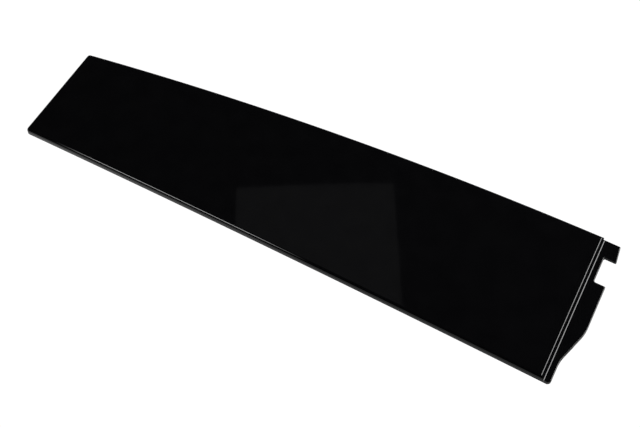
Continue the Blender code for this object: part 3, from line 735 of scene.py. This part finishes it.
make_clips()
make_nuts()

# ---------------------------------------------------------------- tapes and pads

def make_strip(name, outline, top, wall, slot, node, soft_edge):
    strip = extruded(name, outline, top - wall, top)
    crown(strip, BACK_STATIONS)
    strip.location = ORIGIN
    soften(strip, soft_edge)
    smooth(strip, angle=50)
    finish_piece(strip, slot, "plate", node)


def band_outline(side, outer, inner, start, end):
    points = long_edge(side, outer, start, end) + long_edge(side, inner, end, start)
    return [(x, y) for x, y, radius in points]


def make_tapes():
    top = CARRIER_UNDERSIDE - GAP
    liner_top = top - TAPE_WALL - GAP
    span, margin = TAPE_HALF_LENGTH, LINER_MARGIN
    outer, inner = TAPE_OUTER_INSET, TAPE_OUTER_INSET + TAPE_WIDTH
    for name, side in (("far", 1), ("near", -1)):
        tape = band_outline(side, outer, inner, -span, span)
        node = f"bond_tape_{name}"
        make_strip(f"foam_tape_{name}", tape, top, TAPE_WALL, "bond_tape", node, TAPE_SOFT_EDGE)
        liner = band_outline(side, outer - margin, inner + margin, -span - margin, span + LINER_PULL)
        node = f"tape_liner_{name}"
        make_strip(f"liner_{name}", liner, liner_top, LINER_WALL, "liner_film", node, LINER_SOFT_EDGE)


def cushion(name, x_low, x_high, y_low, y_high, top, wall, crown_share, slot, node, fill):
    """A pad with a bulging underside and soft sides, which follows the crown where it is stuck on."""
    columns = max(PAD_LEAST_CELLS, round((x_high - x_low) / MM / PAD_COLUMN_MM))
    rows = max(PAD_LEAST_CELLS, round((y_high - y_low) / MM / PAD_ROW_MM))
    mesh = bpy.data.meshes.new(name)

    def shape(bm):
        grid = []
        for i in range(columns + 1):
            u = -math.cos(math.pi * i / columns)
            line = []
            for j in range(rows + 1):
                v = 2 * j / rows - 1
                eased = math.sin(v * math.pi / 2)
                v = eased if rows < LONG_PAD_ROWS else v + LONG_PAD_EASE * (eased - v)
                x = x_low + (x_high - x_low) * (u + 1) / 2
                y = y_low + (y_high - y_low) * (v + 1) / 2
                edge = min(x - x_low, x_high - x, y - y_low, y_high - y)
                soft = min(1.0, max(0.0, edge / (wall * PAD_SOFT_SHARE)))
                rise = math.sqrt(1 - (1 - soft) ** 2)
                full = (1 - u**4 * PAD_END_FALL) * (1 - v**8 * PAD_SIDE_FALL)
                share = PAD_EDGE_SHARE + PAD_RISE_SHARE * rise
                depth = wall * share * (1 - crown_share + crown_share * full)
                line.append((bm.verts.new((x, y, top)), bm.verts.new((x, y, top - depth))))
            grid.append(line)
        for i in range(columns):
            for j in range(rows):
                a, b, c, d = grid[i][j], grid[i + 1][j], grid[i + 1][j + 1], grid[i][j + 1]
                bm.faces.new((a[0], b[0], c[0], d[0]))
                bm.faces.new((d[1], c[1], b[1], a[1]))
        ring = [grid[i][0] for i in range(columns + 1)]
        ring += [grid[columns][j] for j in range(1, rows + 1)]
        ring += [grid[i][rows] for i in range(columns - 1, -1, -1)]
        ring += [grid[0][j] for j in range(rows - 1, 0, -1)]
        for here, there in zip(ring, ring[1:] + ring[:1]):
            bm.faces.new((here[0], here[1], there[1], there[0]))
        bmesh.ops.recalc_face_normals(bm, faces=bm.faces)
        for vertex in bm.verts:
            vertex.co.z -= drop(vertex.co.x)

    edit_mesh(mesh, shape)
    pad = add_object(name, mesh)
    pad.location = ORIGIN
    soften(pad, wall * PAD_BEVEL_SHARE, segments=3, angle=50)
    smooth(pad, angle=70)
    finish_piece(pad, slot, "plate", node)


def make_pads():
    top = CARRIER_UNDERSIDE - GAP
    for name, x in FOAM_STARTS.items():
        side = half_width(x) - FOAM_SIDE_INSET
        limits = (x, x + FOAM_DEPTH, -side, side)
        cushion(
            f"foam_strip_{name}", *limits, top, FOAM_WALL,
            crown_share=0.18, slot="seal_foam", node=f"end_foam_{name}", fill=0.7,
        )
    for name, limits in FELT_BOXES.items():
        cushion(
            f"felt_{name}", *limits, TAB_UNDERSIDE - GAP, FELT_WALL,
            crown_share=0.1, slot="felt", node=f"felt_pad_{name}", fill=0.5,
        )


make_tapes()
make_pads()

# ---------------------------------------------------------------- floor, light and camera

# Where the painted floor shade ramps from its left strength to its right one.
SHADE_FADE_X = (-0.20, 0.08)
CEILING_CORNERS = ((-0.69, 0.87, 1.5), (-0.26, 1.03, 1.5), (-0.01, 0.67, 1.5), (-0.44, 0.51, 1.5))
CEILING_STRENGTH, FLOOR_STRENGTH, FLOOR_RADIUS = 0.09, 1.05, 6.0
WALL_TOP, WALL_LIGHT = 0.02, (0.7, 0.7, 0.7, 1)
ROOM_START, ROOM_LIGHT = 0.06, (0.006, 0.006, 0.006, 1)


def emission(name, strength):
    material = bpy.data.materials.new(name)
    material.use_nodes = True
    tree = material.node_tree
    tree.nodes.clear()
    glow = tree.nodes.new("ShaderNodeEmission")
    glow.inputs["Color"].default_value = (1.0, 1.0, 1.0, 1.0)
    glow.inputs["Strength"].default_value = strength
    out = tree.nodes.new("ShaderNodeOutputMaterial")
    tree.links.new(glow.outputs[0], out.inputs["Surface"])
    return material


def split_coords(tree):
    """The object coordinates of a material, split into axes."""
    split = tree.nodes.new("ShaderNodeSeparateXYZ")
    tree.links.new(tree.nodes.new("ShaderNodeTexCoord").outputs["Object"], split.inputs[0])
    return split.outputs


def drive_glow(tree, level):
    glow = next(node for node in tree.nodes if node.type == "EMISSION")
    tree.links.new(level, glow.inputs["Strength"])


def make_floor():
    mesh = bpy.data.meshes.new("floor")
    edit_mesh(mesh, lambda bm: bmesh.ops.create_circle(bm, cap_ends=True, segments=96, radius=FLOOR_RADIUS))
    floor = add_object("floor", mesh)
    floor.data.materials.append(emission("white_light_table", FLOOR_STRENGTH))


def card(name, place, along, size, strength, soft):
    """A glowing rectangle that faces the plate, with its width along the direction given.

    It fades to nothing over the outer soft share of its half size.
    """
    mesh = bpy.data.meshes.new(name)
    edit_mesh(mesh, lambda bm: bmesh.ops.create_grid(bm, x_segments=1, y_segments=1, size=1.0))
    obj = add_object(name, mesh)
    obj.scale = (size[0] / 2, size[1] / 2, 1.0)
    obj.location = place
    width = Vector(along).normalized()
    back = Vector(place)
    back = (back - width * back.dot(width)).normalized()
    obj.rotation_euler = Matrix((width, back.cross(width), back)).transposed().to_euler()
    material = emission(name + "_glow", strength)
    tree = material.node_tree
    place_on_card = split_coords(tree)
    level = strength
    for axis in "XY":
        from_middle = tree.nodes.new("ShaderNodeMath")
        from_middle.operation = "ABSOLUTE"
        tree.links.new(place_on_card[axis], from_middle.inputs[0])
        fade = tree.nodes.new("ShaderNodeMapRange")
        fade.interpolation_type = "SMOOTHSTEP"
        fade.inputs["From Min"].default_value = 1.0
        fade.inputs["From Max"].default_value = 1.0 - soft
        tree.links.new(from_middle.outputs[0], fade.inputs["Value"])
        both = tree.nodes.new("ShaderNodeMath")
        both.operation = "MULTIPLY"
        tree.links.new(fade.outputs["Result"], both.inputs[0])
        if axis == "X":
            both.inputs[1].default_value = level
        else:
            tree.links.new(level, both.inputs[1])
        level = both.outputs[0]
    drive_glow(tree, level)
    mesh.materials.append(material)
    obj.visible_camera = False


def make_ceiling_panel():
    """A very dim panel overhead: the faint lighter shape that the gloss face mirrors."""
    mesh = bpy.data.meshes.new("ceiling_panel")
    mesh.from_pydata(CEILING_CORNERS, [], [(0, 1, 2, 3)])
    panel = add_object("ceiling_panel", mesh)
    mesh.materials.append(emission("ceiling_panel_glow", CEILING_STRENGTH))
    panel.visible_camera = False


def make_painted_floor_shade(name, x_ends, y_ends, strengths):
    """Painted shade on the table: a dimmer glowing patch that only reflections show, with its strength at the
    left and the right.
    """
    (left, right), (front, back) = x_ends, y_ends
    mesh = bpy.data.meshes.new(name)
    corners = [(x, y, MM) for x, y in ((left, front), (right, front), (right, back), (left, back))]
    mesh.from_pydata(corners, [], [(0, 1, 2, 3)])
    shade_patch = add_object(name, mesh)
    material = emission(name + "_glow", 1.0)
    tree = material.node_tree
    fade = tree.nodes.new("ShaderNodeMapRange")
    for socket, value in zip(("From Min", "From Max", "To Min", "To Max"), SHADE_FADE_X + strengths):
        fade.inputs[socket].default_value = value
    tree.links.new(split_coords(tree)["X"], fade.inputs["Value"])
    drive_glow(tree, fade.outputs["Result"])
    mesh.materials.append(material)
    shade_patch.visible_camera = False


def make_world():
    """Light walls up to just above the horizon, and a nearly black room over them."""
    world = bpy.data.worlds.new("studio")
    bpy.context.scene.world = world
    world.use_nodes = True
    tree = world.node_tree
    tree.nodes.clear()
    coords = tree.nodes.new("ShaderNodeTexCoord")
    split = tree.nodes.new("ShaderNodeSeparateXYZ")
    ramp = tree.nodes.new("ShaderNodeValToRGB")
    glow = tree.nodes.new("ShaderNodeBackground")
    out = tree.nodes.new("ShaderNodeOutputWorld")
    tree.links.new(coords.outputs["Generated"], split.inputs[0])
    tree.links.new(split.outputs["Z"], ramp.inputs["Fac"])
    tree.links.new(ramp.outputs["Color"], glow.inputs["Color"])
    tree.links.new(glow.outputs[0], out.inputs["Surface"])
    levels = ramp.color_ramp.elements
    levels[0].position, levels[0].color = WALL_TOP, WALL_LIGHT
    levels[1].position, levels[1].color = ROOM_START, ROOM_LIGHT


def make_camera():
    """The photograph's angle: lens, direction and distance to a point on the face."""
    azimuth, elevation, distance = math.radians(26.9), math.radians(55.47), 825.0 * MM
    aim = ORIGIN + Vector((26.325 * MM, -16.35 * MM, 0.0))
    camera = bpy.data.cameras.new("photo_angle")
    camera.lens = 63.9
    camera.sensor_width = 36.0
    camera.clip_start = 0.01
    obj = add_object("photo_angle", camera)
    outward = Vector((
        math.sin(azimuth) * math.cos(elevation), -math.cos(azimuth) * math.cos(elevation), math.sin(elevation)
    ))
    obj.location = aim + outward * distance
    obj.rotation_euler = (-outward).to_track_quat("-Z", "Y").to_euler()
    bpy.context.scene.camera = obj


make_floor()
make_world()
make_camera()
# Gives the step its two bright lines.
card(
    "step_strip",
    place=(0.94, 0.78, 0.93), along=(-0.7, 0.0, 0.7), size=(1.1, 0.72), strength=11.5, soft=0.3,
)
# Gives the near edge its highlight.
card(
    "edge_light",
    place=(-0.765, -0.585, 1.20), along=(1.0, 0.0, 0.0), size=(0.90, 0.42), strength=13.0, soft=0.5,
)
make_ceiling_panel()
# Painted shade: dimmer parts of the table, standing in for shade, that the near wall and the far edge mirror.
make_painted_floor_shade("near_floor_shade", x_ends=(-0.30, 0.32), y_ends=(-0.22, -0.02), strengths=(0.76, 0.45))
make_painted_floor_shade("far_floor_shade", x_ends=(-2.0, 1.0), y_ends=(0.03, 3.0), strengths=(0.3, 0.3))
bpy.context.scene.view_settings.view_transform = "Standard"
